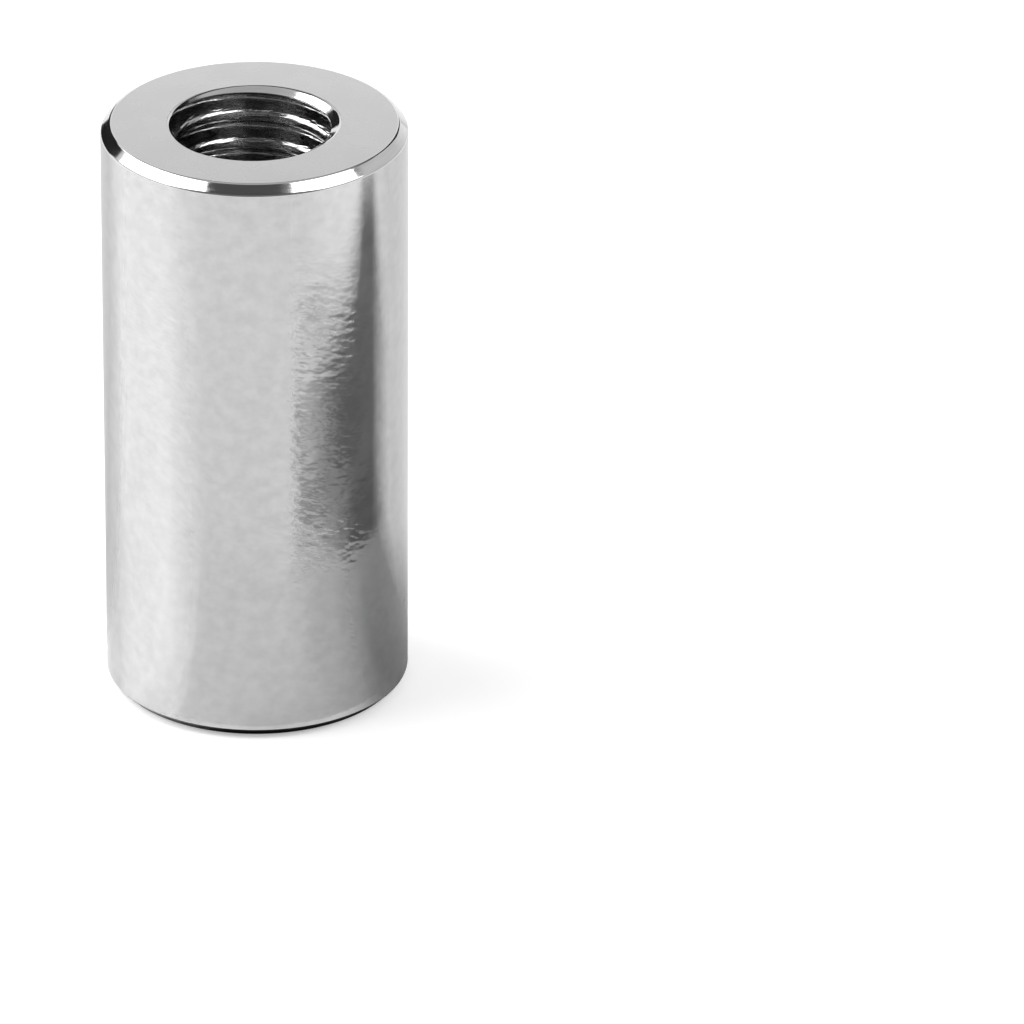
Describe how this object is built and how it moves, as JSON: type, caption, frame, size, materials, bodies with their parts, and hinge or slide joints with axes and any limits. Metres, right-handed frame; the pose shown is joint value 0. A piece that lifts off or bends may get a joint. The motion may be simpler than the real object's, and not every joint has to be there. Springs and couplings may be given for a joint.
{
  "type": "round coupling nut",
  "caption": "Round coupling nut: a plain chamfered steel sleeve with a metric thread right through, for joining threaded rods or studs end to end.",
  "frame": {"origin": "middle of the end face that the nut stands on", "axes": "+Z along the threaded hole, up from the end face that the nut stands on; X and Y across it, alike all round"},
  "size_m": [0.01, 0.01, 0.02],
  "materials": {
    "bright_steel": "bright plated: ground side, faced ends, turned chamfers and a tapped thread"
  },
  "bodies": {
    "root": {"coupling_nut": "bright_steel"}
  },
  "joints": []
}
